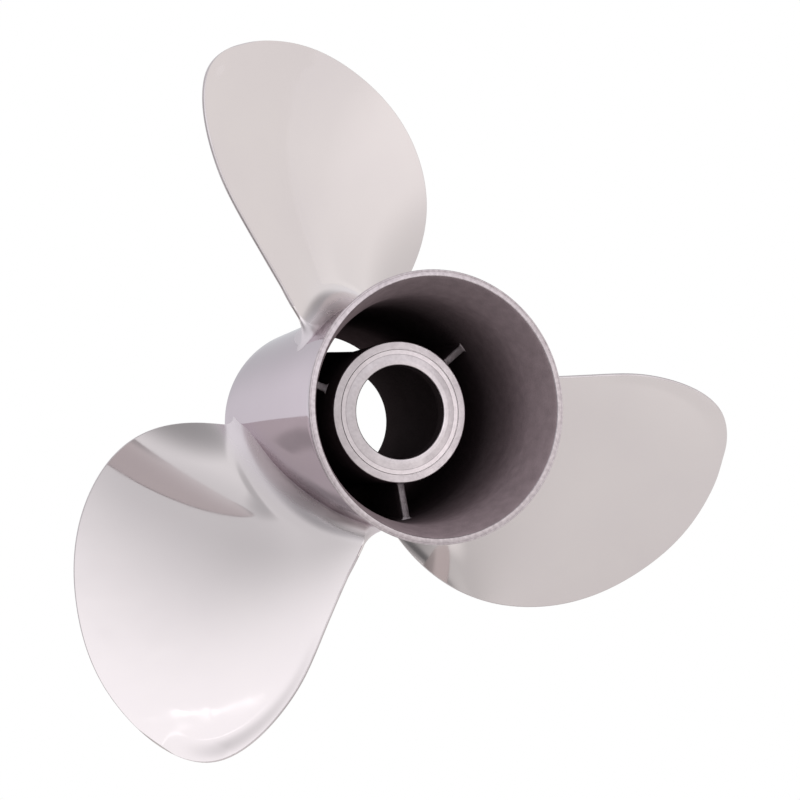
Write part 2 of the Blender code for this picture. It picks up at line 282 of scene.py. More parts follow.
# Soft lights and darker zones of the room: azimuth, elevation, full and outer half-angle, change
ROOM_ZONES = (
    (0.0, 6.5, 3.0, 60.0, 0.50),
    (-71.0, 45.0, 3.0, 64.0, -0.17),
    (34.0, 54.0, 3.0, 34.0, -0.21),
    (-90.0, 0.0, 3.0, 50.0, -0.48),
    (180.0, 6.0, 3.0, 40.0, -0.10),
    (158.0, 13.0, 6.0, 30.0, -0.28),
    (110.0, 32.0, 4.0, 29.0, -0.62),
    (72.0, 2.0, 3.0, 25.0, 0.015),
    (60.0, 85.0, 4.0, 12.0, -0.30),
    (-1.6, 27.9, 0.2, 0.9, 0.50),
    (-3.5, 27.7, 0.2, 0.9, 0.50),
)
ROOM_LEVEL = 1.10
ROOM_TINT = (0.975, 1.000, 1.030)

# A part of the room is lit warmer: azimuth, elevation, full and outer half-angle, whole change
WARM_TINT = (0.995, 1.000, 0.995)
WARM_ZONE = (75.0, 0.0, 12.0, 48.0, 1.0)


def link(name, vertices, faces, sharp_degrees=SHARP_ANGLE):
    """One smooth-shaded mesh object from points and faces."""
    mesh = bpy.data.meshes.new(name)
    mesh.from_pydata([tuple(v) for v in vertices], [], faces)
    work = bmesh.new()
    work.from_mesh(mesh)
    bmesh.ops.recalc_face_normals(work, faces=work.faces)
    work.to_mesh(mesh)
    work.free()
    mesh.shade_smooth()
    mesh.set_sharp_from_angle(angle=math.radians(sharp_degrees))
    item = bpy.data.objects.new(name, mesh)
    bpy.context.scene.collection.objects.link(item)
    return item


def polar(radius, angle, y):
    """A point at an angle clockwise from straight up, seen from aft."""
    return (radius * math.sin(angle), y, radius * math.cos(angle))


def turned(name, profile, zones):
    """Turns a closed profile of (radius, y) points, with a material slot for each of its edges."""
    count = len(profile)
    vertices = []
    for step in range(TURN_STEPS):
        angle = 2.0 * math.pi * step / TURN_STEPS
        vertices += [polar(radius, angle, y) for radius, y in profile]
    faces = []
    for step in range(TURN_STEPS):
        here = step * count
        there = ((step + 1) % TURN_STEPS) * count
        for i in range(count):
            j = (i + 1) % count
            faces.append((here + i, here + j, there + j, there + i))
    item = link(name, vertices, faces)
    for index, polygon in enumerate(item.data.polygons):
        polygon.material_index = zones[index % count]
    return item


def taper(aft_radius, front_radius, y):
    """Radius of the barrel's straight taper at one place along the shaft."""
    share = (y - MOUTH_Y) / (BARREL_FRONT_Y - MOUTH_Y)
    return aft_radius + (front_radius - aft_radius) * share


def flare(y, power):
    """How far the flare near the mouth rises above the taper."""
    share = 1.0 - (y - MOUTH_Y) / FLARE_DEPTH
    return FLARE_RISE * max(0.0, share) ** power


def barrel_outer(y):
    return taper(OUTER_TAPER_AFT_RADIUS, OUTER_FRONT_RADIUS, y) + flare(y, OUTER_FLARE_POWER)


def barrel_inner(y):
    return taper(INNER_TAPER_AFT_RADIUS, INNER_FRONT_RADIUS, y) + flare(y, INNER_FLARE_POWER)


def hub_outer(y):
    stations = (HUB_AFT_Y, HUB_WAIST_Y, 0.0)
    return float(np.interp(y, stations, (HUB_AFT_RADIUS, HUB_WAIST_RADIUS, HUB_FRONT_RADIUS)))


def quarter_round(centre, radius, start_degrees, end_degrees):
    """Points on an arc in the profile plane; 0 degrees points outward, 90 forward."""
    points = []
    for step in range(ROUND_STEPS + 1):
        turn = math.radians(start_degrees + (end_degrees - start_degrees) * step / ROUND_STEPS)
        points.append((centre[0] + radius * math.cos(turn), centre[1] + radius * math.sin(turn)))
    return points


def barrel_piece():
    """The barrel: polished outside, with a machined aft rim and a rough cast inside."""
    flared = FLARE_DEPTH - RIM_ROUND
    flare_end = MOUTH_Y + FLARE_DEPTH
    straight = BARREL_FRONT_Y - RIM_ROUND - flare_end
    stations = [MOUTH_Y + RIM_ROUND + flared * (i / FLARE_STEPS) for i in range(FLARE_STEPS + 1)]
    stations += [flare_end + straight * (i / TAPER_STEPS) for i in range(1, TAPER_STEPS + 1)]
    outside = [(barrel_outer(y), y) for y in stations[1:-1]]
    inside = [(barrel_inner(y), y) for y in stations[1:-1]]
    rim_radius = barrel_outer(MOUTH_Y + RIM_ROUND) - RIM_ROUND
    rim_round = quarter_round((rim_radius, MOUTH_Y + RIM_ROUND), RIM_ROUND, -90.0, 0.0)
    groove_radius = rim_radius - RIM_GROOVE_WIDTH
    groove = [
        (groove_radius, MOUTH_Y),
        (groove_radius + 0.5 * RIM_GROOVE_WIDTH, MOUTH_Y + RIM_GROOVE),
    ]
    front_centre = (OUTER_FRONT_RADIUS - RIM_ROUND, BARREL_FRONT_Y - RIM_ROUND)
    front_round = quarter_round(front_centre, RIM_ROUND, 0.0, 90.0)
    inner_front = [
        (INNER_FRONT_RADIUS + SMALL_ROUND, BARREL_FRONT_Y),
        (INNER_FRONT_RADIUS, BARREL_FRONT_Y - SMALL_ROUND),
    ]
    mouth_inner = barrel_inner(MOUTH_Y)
    inner_aft = [(mouth_inner, MOUTH_Y + SMALL_ROUND), (mouth_inner + SMALL_ROUND, MOUTH_Y)]
    polished = groove + rim_round + outside + front_round
    rough = inner_front + inside[::-1] + inner_aft
    rim = len(groove) + len(rim_round)
    zones = [MACHINED] * rim + [POLISHED] * (len(polished) - 1 - rim) + [MACHINED] * 2
    zones += [PASSAGE] * (len(rough) - 3) + [MACHINED] * 2
    return turned("barrel", polished + rough, zones)


def hub_piece():
    """The inner hub: a rough tapered tube with a machined aft face."""
    front = quarter_round((HUB_FRONT_RADIUS - HUB_ROUND, -HUB_ROUND), HUB_ROUND, 90.0, 0.0)
    stations = np.linspace(-2.0 * HUB_ROUND, HUB_AFT_Y + 2.0 * HUB_ROUND, HUB_STATIONS)
    waist = [(hub_outer(y), y) for y in stations]
    aft_centre = (HUB_AFT_RADIUS - HUB_ROUND, HUB_AFT_Y + HUB_ROUND)
    aft = quarter_round(aft_centre, HUB_ROUND, 0.0, -90.0)
    flat = [(HUB_AFT_RADIUS - 1.3 * HUB_ROUND, HUB_AFT_Y)]
    seat_end = HUB_AFT_Y + RING_SEAT_DEPTH
    seat = [
        (RING_SEAT_RADIUS, HUB_AFT_Y),
        (RING_SEAT_RADIUS, seat_end),
        (HUB_CAVITY_RADIUS, seat_end),
        (HUB_OPENING_RADIUS, -HUB_ROUND),
    ]
    lip = [(HUB_OPENING_RADIUS + 0.5 * HUB_ROUND, 0.0)]
    zones = [PASSAGE] * (len(front) + len(waist)) + [MACHINED] * (len(aft) + len(flat))
    zones += [CAVITY] * len(seat) + [MACHINED]
    return turned("hub", front + waist + aft + flat + seat + lip, zones)


def ring_piece():
    """The ring in the hub's aft end, with a low raised lip round the bore."""
    outer = RING_SEAT_RADIUS - RING_SEAM
    front = HUB_AFT_Y + RING_SEAT_DEPTH - RING_GAP
    lip_y = HUB_AFT_Y - RING_LIP_RISE
    bore_start = lip_y + BORE_CHAMFER
    bore_end = bore_start + BORE_LENGTH
    profile = [
        (RING_SEAT_RADIUS, HUB_AFT_Y + RING_SEAM_DEPTH),
        (outer, HUB_AFT_Y + RING_SEAM_DEPTH),
        (outer - RING_SEAM, HUB_AFT_Y),
        (RING_STEP_RADIUS + RING_STEP_EDGE, HUB_AFT_Y),
        (RING_STEP_RADIUS, HUB_AFT_Y),
        (RING_STEP_RADIUS - RING_STEP_WIDTH, lip_y),
        (RING_STEP_RADIUS - RING_STEP_WIDTH - RING_STEP_EDGE, lip_y),
        (BORE_RADIUS + BORE_CHAMFER + RING_STEP_EDGE, lip_y),
    ]
    profile += quarter_round((BORE_RADIUS + BORE_CHAMFER, bore_start), BORE_CHAMFER, -90.0, -180.0)
    profile += [
        (BORE_RADIUS, bore_end),
        (RING_INNER_RADIUS, bore_end + RING_INNER_RADIUS - BORE_RADIUS),
        (RING_INNER_RADIUS, front),
        (RING_SEAT_RADIUS, front),
    ]
    # The narrow band at the step takes the painted shade's slot
    zones = [RING_FACE] * 3 + [RING_STEP_SHADE] + [RING_LIP] * (len(profile) - 9) + [RING_CAVITY] * 5
    return turned("end_ring", profile, zones)


def fillet_heights(radius, steps):
    """Heights of the stations up a fillet, close together near its foot."""
    turns = np.linspace(math.asin(1.0 - FOOT_STEP / radius), 0.0, steps + 1)
    return radius * (1.0 - np.sin(turns))


def fillet_spread(height, radius):
    """How far a fillet stands out at one height above its foot."""
    return radius - np.sqrt(radius ** 2 - np.clip(radius - height, 0.0, None) ** 2)


def loft(sections):
    """Joins like sections into one skin, with a polygon for each end."""
    count = len(sections[0])
    vertices = [point for section in sections for point in section]
    faces = []
    for level in range(len(sections) - 1):
        low = level * count
        high = low + count
        for i in range(count):
            j = (i + 1) % count
            faces.append((low + i, low + j, high + j, high + i))
    last = (len(sections) - 1) * count
    ends = [tuple(range(count)), tuple(last + i for i in range(count))]
    return vertices, faces, ends


def rib_piece(index):
    """A thin web between hub and barrel, with fillets at both ends and a softened aft edge."""
    centre = RIB_FIRST_ANGLE + 2.0 * math.pi * index / RIB_COUNT
    heights = fillet_heights(RIB_FILLET, RIB_FILLET_STEPS)
    ends = [(height, fillet_spread(height, RIB_FILLET)) for height in heights]
    soft = RIB_EDGE_ROUND
    stations = [(RIB_AFT_Y, soft), (RIB_AFT_Y + 0.3 * soft, 0.3 * soft), (RIB_AFT_Y + soft, 0.0)]
    plain = np.linspace(RIB_AFT_Y + RIB_FIRST_STATION, RIB_FRONT_Y, RIB_STATIONS)
    stations += [(float(y), 0.0) for y in plain]
    sections = []
    for y, trim in stations:
        low = hub_outer(y)
        high = barrel_inner(y)
        half = RIB_HALF_THICKNESS - trim
        rows = [(low - RIB_SINK, half + ends[0][1])]
        rows += [(low + height, half + spread) for height, spread in ends]
        rows += [(high - height, half + spread) for height, spread in ends[::-1]]
        rows += [(high + RIB_SINK, half + ends[0][1])]
        right = [polar(r, centre + w / r, y) for r, w in rows]
        left = [polar(r, centre - w / r, y) for r, w in rows]
        sections.append(right + left[::-1])
    vertices, faces, caps = loft(sections)
    item = link(f"rib_web_{index + 1}", vertices, faces + caps, RIB_SHARP_ANGLE)
    for polygon in item.data.polygons:
        on_edge = polygon.center.y < RIB_AFT_Y + 1.1 * soft
        polygon.material_index = RIB_EDGE if on_edge else RIB_SIDE
    return item


def spline_weights(share, count):
    """Weights of the control points of a clamped cubic spline, at one place."""
    degree = 3
    inner = [i / (count - degree) for i in range(count - degree + 1)]
    knots = [0.0] * degree + inner + [1.0] * degree
    share = min(share, BEFORE_END)
    spans = len(knots) - 1
    weights = [1.0 if knots[i] <= share < knots[i + 1] else 0.0 for i in range(spans)]
    for order in range(1, degree + 1):
        for i in range(spans - order):
            left = knots[i + order] - knots[i]
            right = knots[i + order + 1] - knots[i + 1]
            rising = weights[i] * (share - knots[i]) / left if left else 0.0
            falling = weights[i + 1] * (knots[i + order + 1] - share) / right if right else 0.0
            weights[i] = rising + falling
    return weights[:count]


def outline_points():
    """The blade's outline seen along the shaft, as radii and angles."""
    places = [(math.radians(a), r) for r, a in OUTLINE]
    controls = np.array([(r * math.sin(a), r * math.cos(a)) for a, r in places])
    shares = np.linspace(0.0, 1.0, OUTLINE_SAMPLES)
    weights = np.array([spline_weights(share, len(OUTLINE)) for share in shares])
    points = weights @ controls
    radii = np.hypot(points[:, 0], points[:, 1]) - EDGE_TRIM
    return radii, np.arctan2(points[:, 0], points[:, 1])


OUTLINE_RADII, OUTLINE_ANGLES = outline_points()
TIP_INDEX = int(OUTLINE_RADII.argmax())
TIP_RADIUS = float(OUTLINE_RADII[TIP_INDEX])
PITCH_CURVE = np.polyfit(PITCH_RADII, PITCHES, 2)
ROOT_RADIUS = barrel_outer(BLADE_Y)
CUPPED = (OUTLINE_ANGLES < CUP_TIP_ANGLE) & (OUTLINE_RADII > CUP_START_RADIUS)
CUPPED_X = (OUTLINE_RADII * np.sin(OUTLINE_ANGLES))[CUPPED]
CUPPED_Z = (OUTLINE_RADII * np.cos(OUTLINE_ANGLES))[CUPPED]


def edge_angles(radius):
    """Angles of the trailing and the leading edge at one radius."""
    leading = np.interp(radius, OUTLINE_RADII[:TIP_INDEX + 1], OUTLINE_ANGLES[:TIP_INDEX + 1])
    radii = np.append(OUTLINE_RADII[TIP_INDEX:], TRAILING_FOOT[0])
    angles = np.append(OUTLINE_ANGLES[TIP_INDEX:], math.radians(TRAILING_FOOT[1]))
    trailing = np.interp(-radius, -radii, angles)
    trim = EDGE_TRIM / radius
    return float(trailing) + trim, float(leading) - trim


def cup(angles, radius):
    """How far the aft face curls aft, near the outer trailing edge."""
    across = radius * np.sin(angles)[:, None] - CUPPED_X
    up = radius * np.cos(angles)[:, None] - CUPPED_Z
    growth = np.clip((radius - CUP_START_RADIUS) / (CUP_FULL_RADIUS - CUP_START_RADIUS), 0.0, 1.0)
    width = CUP_WIDTH + CUP_WIDENING * growth ** 3
    inward = np.clip(np.hypot(across, up).min(axis=1) / width, 0.0, 1.0)
    fade = np.clip((CUP_TIP_ANGLE - angles) / CUP_TIP_FADE, 0.0, 1.0)
    return CUP_DEPTH * growth * fade * (0.5 + 0.5 * np.cos(math.pi * inward))


def face_y(angles, radius):
    """Where the blade's aft face lies along the shaft."""
    screw = np.polyval(PITCH_CURVE, radius) * angles / (2.0 * math.pi)
    out = radius - RAKE_START_RADIUS
    rake = RAKE * out + RAKE_CURVE * out ** 2
    beyond = radius - BEND_RADIUS
    bend = (BEND + BEND_GROWTH * beyond) * angles ** 2
    roll = (EDGE_ROLL + EDGE_ROLL_GROWTH * beyond) * angles ** 3 + EDGE_CURL * angles ** 4
    return BLADE_Y + screw - rake - bend - roll - cup(angles, radius)


def blade_thickness(radius, shares):
    """Thickness at one radius over shares of the chord, thickest in its middle."""
    height = (radius - ROOT_RADIUS) / (TIP_RADIUS - ROOT_RADIUS)
    growth = max(0.0, 1.0 - height) ** THICKNESS_POWER
    middle = TIP_THICKNESS + (ROOT_THICKNESS - TIP_THICKNESS) * growth
    edge = 2.0 * EDGE_RADIUS
    return edge + (middle - edge) * (1.0 - np.abs(2.0 * shares - 1.0) ** SECTION_POWER)


def section_frame(radius, angles):
    """Points on the aft face, chord directions and normals, on the unrolled cylinder."""
    rise = face_y(angles + SLOPE_STEP, radius) - face_y(angles - SLOPE_STEP, radius)
    slope = rise / (2.0 * SLOPE_STEP)
    length = np.hypot(radius, slope)
    points = np.stack([radius * angles, face_y(angles, radius)], axis=-1)
    along = np.stack([radius / length, slope / length], axis=-1)
    across = np.stack([-slope / length, radius / length], axis=-1)
    return points, along, across, length


def blade_section(height):
    """Section rows on the unrolled cylinder: aft face, back, trailing arc and leading arc."""
    radius = ROOT_RADIUS + height
    below_tip = min((TIP_RADIUS - radius) / EDGE_RADIUS, 1.0)
    swell = math.sqrt(1.0 - (1.0 - below_tip) ** 2)
    trailing, leading = edge_angles(radius)
    _, _, _, length = section_frame(radius, np.array([trailing]))
    inset = min(EDGE_RADIUS / float(length[0]), 0.5 * (leading - trailing) * swell)
    trailing += inset
    leading -= inset
    shares = 0.5 - 0.5 * np.cos(np.linspace(0.0, math.pi, CHORD_STEPS + 1))
    points, _, across, _ = section_frame(radius, trailing + (leading - trailing) * shares)
    fullness = (1.0 - np.abs(2.0 * shares - 1.0) ** FILLET_POWER) ** 2
    ends = TRAILING_FILLET + (LEADING_FILLET - TRAILING_FILLET) * shares
    fillet = ends + (BLADE_FILLET - ends) * fullness
    up_fillet = max(height, FOOT_STEP)
    spread = fillet_spread(up_fillet, fillet)
    sink = EDGE_RADIUS * (1.0 - swell) - spread
    face = points + across * sink[:, None]
    rise = EDGE_RADIUS + (blade_thickness(radius, shares) - EDGE_RADIUS) * swell + spread
    back = points + across * rise[:, None]
    turns = math.pi * (np.arange(1, ARC_STEPS + 1) / (ARC_STEPS + 1) - 0.5)
    arcs = []
    for angle, side, fillet in ((trailing, -1.0, TRAILING_FILLET), (leading, 1.0, LEADING_FILLET)):
        point, along, across, _ = section_frame(radius, np.array([angle]))
        centre = point[0] + across[0] * EDGE_RADIUS
        reach = EDGE_RADIUS * swell + fillet_spread(up_fillet, fillet)
        outward = side * np.cos(turns)[:, None] * along[0]
        arcs.append(centre + reach * (outward + np.sin(turns)[:, None] * across[0]))
    return face, back, arcs[0], arcs[1]


def blade_heights():
    """Heights of the sections: one under the barrel's skin, up the fillet, then to the tip."""
    span = TIP_RADIUS - TIP_MARGIN - ROOT_RADIUS - BLADE_FILLET
    heights = [-FOOT_SINK, *fillet_heights(BLADE_FILLET, FILLET_STEPS)]
    for step in range(1, SPAN_STEPS + 1):
        heights.append(BLADE_FILLET + span * math.sin(0.5 * math.pi * step / SPAN_STEPS))
    return heights


def blade_piece(index):
    """One blade: a thin raked screw surface that flares into the barrel in a fillet."""
    turn = 2.0 * math.pi * index / BLADE_COUNT

    def place(rows, height):
        flat_radius = ROOT_RADIUS + height
        hold = max(0.0, 1.0 - max(height, 0.0) / ROOT_BLEND_HEIGHT) ** 2
        placed = []
        for along, y in rows:
            radius = flat_radius + hold * (barrel_outer(y) - ROOT_RADIUS)
            placed.append(polar(radius, along / flat_radius + turn, y))
        return placed

    heights = blade_heights()
    sections = []
    for height in heights:
        face, back, trailing_arc, leading_arc = blade_section(height)
        loop = np.concatenate([face, leading_arc, back[::-1], trailing_arc[::-1]])
        sections.append(place(loop, height))
    vertices, faces, caps = loft(sections)
    faces.append(caps[1])
    faces += foot_faces(vertices, place, heights[0])
    item = link(f"blade_skin_{index + 1}", vertices, faces, BLADE_SHARP_ANGLE)
    row = CHORD_STEPS + 1
    loop_size = 2 * row + 2 * ARC_STEPS
    above_fillet = loop_size * (FILLET_STEPS + 1)
    for number in range(above_fillet, loop_size * (len(heights) - 1)):
        place_in_loop = number % loop_size
        on_leading = row - 1 <= place_in_loop < row + ARC_STEPS
        on_trailing = place_in_loop >= 2 * row + ARC_STEPS - 1
        zone = BLADE_EDGE if on_leading or on_trailing else BLADE_SKIN
        item.data.polygons[number].material_index = zone
    return item


def foot_faces(vertices, place, height):
    """Closes a blade's foot with a grid that lies just under the barrel's skin."""
    face, back, _, _ = blade_section(height)
    rows = CHORD_STEPS + 1
    loop_size = 2 * rows + 2 * ARC_STEPS
    inner_shares = np.arange(1, ARC_STEPS + 1) / (ARC_STEPS + 1)
    grid = []
    for i in range(rows):
        start = len(vertices)
        between = [face[i] * (1.0 - share) + back[i] * share for share in inner_shares]
        vertices += place(between, height)
        grid.append([i, *range(start, start + ARC_STEPS), 2 * rows + ARC_STEPS - 1 - i])
    leading = [grid[-1][0], *range(rows, rows + ARC_STEPS), grid[-1][-1]]
    trailing = [grid[0][0], *range(loop_size - 1, loop_size - 1 - ARC_STEPS, -1), grid[0][-1]]
    rings = [trailing] + grid + [leading]
    faces = []
    for low, high in zip(rings[:-1], rings[1:]):
        for j in range(ARC_STEPS + 1):
            faces.append(tuple(dict.fromkeys((low[j], low[j + 1], high[j + 1], high[j]))))
    return faces


def principled(name, colour, roughness, metallic=1.0):
    """A new material; gives it, its node tree and its shader's sockets."""
    material = bpy.data.materials.new(name)
    material.use_nodes = True
    tree = material.node_tree
    shader = tree.nodes["Principled BSDF"].inputs
    shader["Base Color"].default_value = (*colour, 1.0)
    shader["Metallic"].default_value = metallic
    shader["Roughness"].default_value = roughness
    return material, tree, shader


def feed(tree, socket, value):
    """Links an output to a socket, or sets the socket's own value."""
    if isinstance(value, bpy.types.NodeSocket):
        tree.links.new(value, socket)
    else:
        socket.default_value = value


def node(tree, kind, **sockets):
    """A new node with fed sockets, in whose names an underscore stands for a space."""
    made = tree.nodes.new(kind)
    for name, value in sockets.items():
        feed(tree, made.inputs[name.replace("_", " ")], value)
    return made


def object_place(tree):
    return tree.nodes.new("ShaderNodeTexCoord").outputs["Object"]


def mapped(tree, value, source, target, interpolation="LINEAR"):
    """Maps a value from one range to another."""
    levels = node(tree, "ShaderNodeMapRange", Value=value)
    levels.interpolation_type = interpolation
    for name, number in zip(("From Min", "From Max", "To Min", "To Max"), (*source, *target)):
        levels.inputs[name].default_value = number
    return levels.outputs["Result"]


def maths(tree, operation, first, second):
    """Arithmetic on two values."""
    made = tree.nodes.new("ShaderNodeMath")
    made.operation = operation
    feed(tree, made.inputs[0], first)
    feed(tree, made.inputs[1], second)
    return made.outputs["Value"]


def summed(tree, start, parts):
    """A number with outputs added to it one by one."""
    total = start
    for part in parts:
        total = maths(tree, "ADD", part, total)
    return total


def vector_maths(tree, operation, place, vector=(0.0, 0.0, 0.0)):
    """Arithmetic on a place and a fixed vector; gives the node's outputs."""
    made = tree.nodes.new("ShaderNodeVectorMath")
    made.operation = operation
    made.inputs[1].default_value = vector
    feed(tree, made.inputs[0], place)
    return made.outputs


def mixed(tree, factor, first, second, blend="MIX"):
    """Blends two colours."""
    mix = tree.nodes.new("ShaderNodeMix")
    mix.data_type = "RGBA"
    mix.blend_type = blend
    for name, value in (("Factor", factor), ("A", first), ("B", second)):
        feed(tree, mix.inputs[name], value)
    return mix.outputs["Result"]


def wavy(tree, scale, low, high, detail=3.0):
    """Noise over the object, mapped to a range."""
    noise = node(tree, "ShaderNodeTexNoise", Vector=object_place(tree), Scale=scale, Detail=detail)
    return mapped(tree, noise.outputs["Fac"], NOISE_RANGE, (low, high))


def shaft_distance(tree):
    """Distance from the shaft axis."""
    flat = vector_maths(tree, "MULTIPLY", object_place(tree), (1.0, 0.0, 1.0))["Vector"]
    return vector_maths(tree, "LENGTH", flat)["Value"]


def shaft_blend(tree, radii, values):
    """Smooth change from one value to another over a range of distances from the shaft."""
    return mapped(tree, shaft_distance(tree), radii, values, "SMOOTHSTEP")


def turning_marks(tree, scale):
    """Fine rings round the shaft axis, as a lathe tool leaves."""
    rings = tree.nodes.new("ShaderNodeTexNoise")
    rings.noise_dimensions = "1D"
    for name, value in (("W", shaft_distance(tree)), ("Scale", scale), ("Detail", 3.0)):
        feed(tree, rings.inputs[name], value)
    return rings.outputs["Fac"]


def mottled(tree, colours, scale):
    """Two colours blended by noise."""
    return mixed(tree, wavy(tree, scale, 0.0, 1.0), (*colours[0], 1.0), (*colours[1], 1.0))


def mottled_with_painted_shade(tree, colours, mottle_scale, axis, shades):
    """Two mottled colours, times a painted shade that changes along an axis."""
    along = vector_maths(tree, "DOT_PRODUCT", object_place(tree), axis)["Value"]
    shade = mapped(tree, along, (-1.0, 1.0), shades)
    return mixed(tree, 1.0, mottled(tree, colours, mottle_scale), shade, "MULTIPLY")


def bumped(tree, height, distance):
    """Feeds a height through a bump node, after any bump that is already there."""
    normal = tree.nodes["Principled BSDF"].inputs["Normal"]
    bump = node(tree, "ShaderNodeBump", Height=height, Strength=1.0, Distance=distance)
    if normal.is_linked:
        feed(tree, bump.inputs["Normal"], normal.links[0].from_socket)
    feed(tree, normal, bump.outputs["Normal"])


def roughen(tree, scale, low, high):
    """Uneven roughness."""
    roughness = tree.nodes["Principled BSDF"].inputs["Roughness"]
    feed(tree, roughness, wavy(tree, scale, low, high))


def grain(tree, scale, height):
    """Fine grain over the surface."""
    bumped(tree, wavy(tree, scale, 0.0, 1.0), height)


def polished_steel(name, colours, edge_tint, haze, shades):
    """Mirror-polished stainless: hazy near the shaft, wavy from hand polishing near the tips."""
    material, tree, shader = principled(name, colours[0], roughness=0.06)
    shader["Specular Tint"].default_value = (*edge_tint, 1.0)
    # The colour carries a painted shade, lighter towards the mouth; on the blades it is slight
    colour = mottled_with_painted_shade(tree, colours, mottle_scale=22.0, axis=SHADE_AXIS_TO_MOUTH, shades=shades)
    feed(tree, shader["Base Color"], colour)
    hazy = shaft_blend(tree, HAZE_RADII, (haze, 0.0))
    uneven = wavy(tree, scale=60.0, low=0.045, high=0.085)
    feed(tree, shader["Roughness"], maths(tree, "ADD", hazy, uneven))
    outward = shaft_blend(tree, WAVE_RADII, (WAVE_START, 1.0))
    waves = wavy(tree, scale=70.0, low=0.0, high=1.0, detail=1.0)
    bumped(tree, maths(tree, "MULTIPLY", outward, waves), distance=0.00005)
    return material


def rooted(material):
    """Gives a blade's foot the colour of the barrel that it grows from."""
    tree = material.node_tree
    near = shaft_blend(tree, ROOT_RADII, (1.0, 0.0))
    for name, colour in (("Base Color", ROOT_COLOUR), ("Specular Tint", ROOT_EDGE_TINT)):
        socket = tree.nodes["Principled BSDF"].inputs[name]
        own = socket.links[0].from_socket if socket.is_linked else tuple(socket.default_value)
        feed(tree, socket, mixed(tree, near, own, (*colour, 1.0)))


def edge_steel():
    """Blade edges, rounded by hand on a belt: satin rather than mirror."""
    material, tree, shader = principled("edge_satin", BLADE_EDGE_COLOURS[0], roughness=0.34)
    feed(tree, shader["Base Color"], mottled(tree, BLADE_EDGE_COLOURS, scale=90.0))
    roughen(tree, scale=200.0, low=0.27, high=0.41)
    grain(tree, scale=900.0, height=0.00001)
    return material


def machined_steel(name, colours, shades):
    """Turned faces: satin, faintly mottled, with fine rings, and painted darker towards the left.
    """
    material, tree, shader = principled(name, colours[0], roughness=0.34)
    colour = mottled_with_painted_shade(tree, colours, mottle_scale=700.0, axis=TURNED_SHADE_AXIS, shades=shades)
    feed(tree, shader["Base Color"], colour)
    roughen(tree, scale=160.0, low=0.28, high=0.40)
    bumped(tree, turning_marks(tree, scale=2500.0), distance=0.00001)
    grain(tree, scale=1500.0, height=0.00001)
    return material


def cast_steel():
    """Blasted casting skin, dull and brownish, for the ribs' aft edges."""
    material, tree, shader = principled("cast_steel", CAST_COLOURS[0], roughness=0.50)
    feed(tree, shader["Base Color"], mottled(tree, CAST_COLOURS, scale=300.0))
    roughen(tree, scale=90.0, low=0.42, high=0.58)
    grain(tree, scale=1200.0, height=0.00008)
    return material


def sooty(name, colour):
    """Steel under dull soot, which has no gloss."""
    material, tree, shader = principled(name, colour, roughness=0.60, metallic=0.0)
    shader["Specular IOR Level"].default_value = 0.0
    return material, tree, shader


def passage_steel():
    """Sooty cast skin of the exhaust passage, with a painted shade that darkens with depth and is
    paler low and to the right.
    """
    material, tree, shader = sooty("passage_steel", PASSAGE_COLOURS[0][1])
    along_shaft = node(tree, "ShaderNodeSeparateXYZ", Vector=object_place(tree)).outputs["Y"]
    depth = mapped(tree, along_shaft, (MOUTH_Y, MOUTH_Y + PASSAGE_DEPTH), (0.0, 1.0))
    ramp = node(tree, "ShaderNodeValToRGB", Fac=depth)
    stops = ramp.color_ramp.elements
    for index, (distance, colour) in enumerate(PASSAGE_COLOURS):
        if index >= len(stops):
            stops.new(distance / PASSAGE_DEPTH)
        stops[index].position = distance / PASSAGE_DEPTH
        stops[index].color = (*colour, 1.0)
    # Painted shade: paler low and to the right
    side = vector_maths(tree, "DOT_PRODUCT", object_place(tree), PASSAGE_SHADE_DIRECTION)["Value"]
    side_shade = mapped(tree, side, (-PASSAGE_SHADE_REACH, PASSAGE_SHADE_REACH), PASSAGE_SIDE_SHADES)
    clouds = wavy(tree, scale=240.0, low=0.82, high=1.0, detail=6.0)
    shade = maths(tree, "MULTIPLY", side_shade, clouds)
    feed(tree, shader["Base Color"], mixed(tree, 1.0, ramp.outputs["Color"], shade, "MULTIPLY"))
    roughen(tree, scale=90.0, low=0.52, high=0.68)
    grain(tree, scale=1500.0, height=0.00006)
    return material


def cavity_steel():
    """Near-black skin inside the hub: painted shade in its hollow."""
    material, tree, shader = sooty("cavity_steel", CAVITY_COLOURS[0])
    feed(tree, shader["Base Color"], mottled(tree, CAVITY_COLOURS, scale=45.0))
    roughen(tree, scale=120.0, low=0.52, high=0.68)
    grain(tree, scale=900.0, height=0.00008)
    return material


def towards(azimuth, elevation):
    """Unit direction; azimuth 0 is straight aft, 90 to the right."""
    turn = math.radians(azimuth)
    rise = math.radians(elevation)
    flat = math.cos(rise)
    return (math.sin(turn) * flat, -math.cos(turn) * flat, math.sin(rise))


def floor_zone(tree, place, x, y, full, outer, change):
    """A smooth round zone of the floor, falling from its change at the middle to nothing."""
    away = vector_maths(tree, "DISTANCE", place, (x, y, FLOOR_LEVEL))["Value"]
    return mapped(tree, away, (full, outer), (change, 0.0), "SMOOTHSTEP")


def room_zone(tree, place, azimuth, elevation, full, outer, change):
    """A smooth round zone of the room, rising to its change at the middle."""
    facing = vector_maths(tree, "DOT_PRODUCT", place, towards(azimuth, elevation))["Value"]
    cosines = (math.cos(math.radians(outer)), math.cos(math.radians(full)))
    return mapped(tree, facing, cosines, (0.0, change), "SMOOTHSTEP")


def white_to_camera(tree, shader, white, surface):
    """Shows plain white to camera rays and the shader to all others."""
    path = tree.nodes.new("ShaderNodeLightPath")
    choice = tree.nodes.new("ShaderNodeMixShader")
    feed(tree, choice.inputs["Fac"], path.outputs["Is Camera Ray"])
    feed(tree, choice.inputs[1], shader)
    feed(tree, choice.inputs[2], white)
    feed(tree, surface, choice.outputs["Shader"])


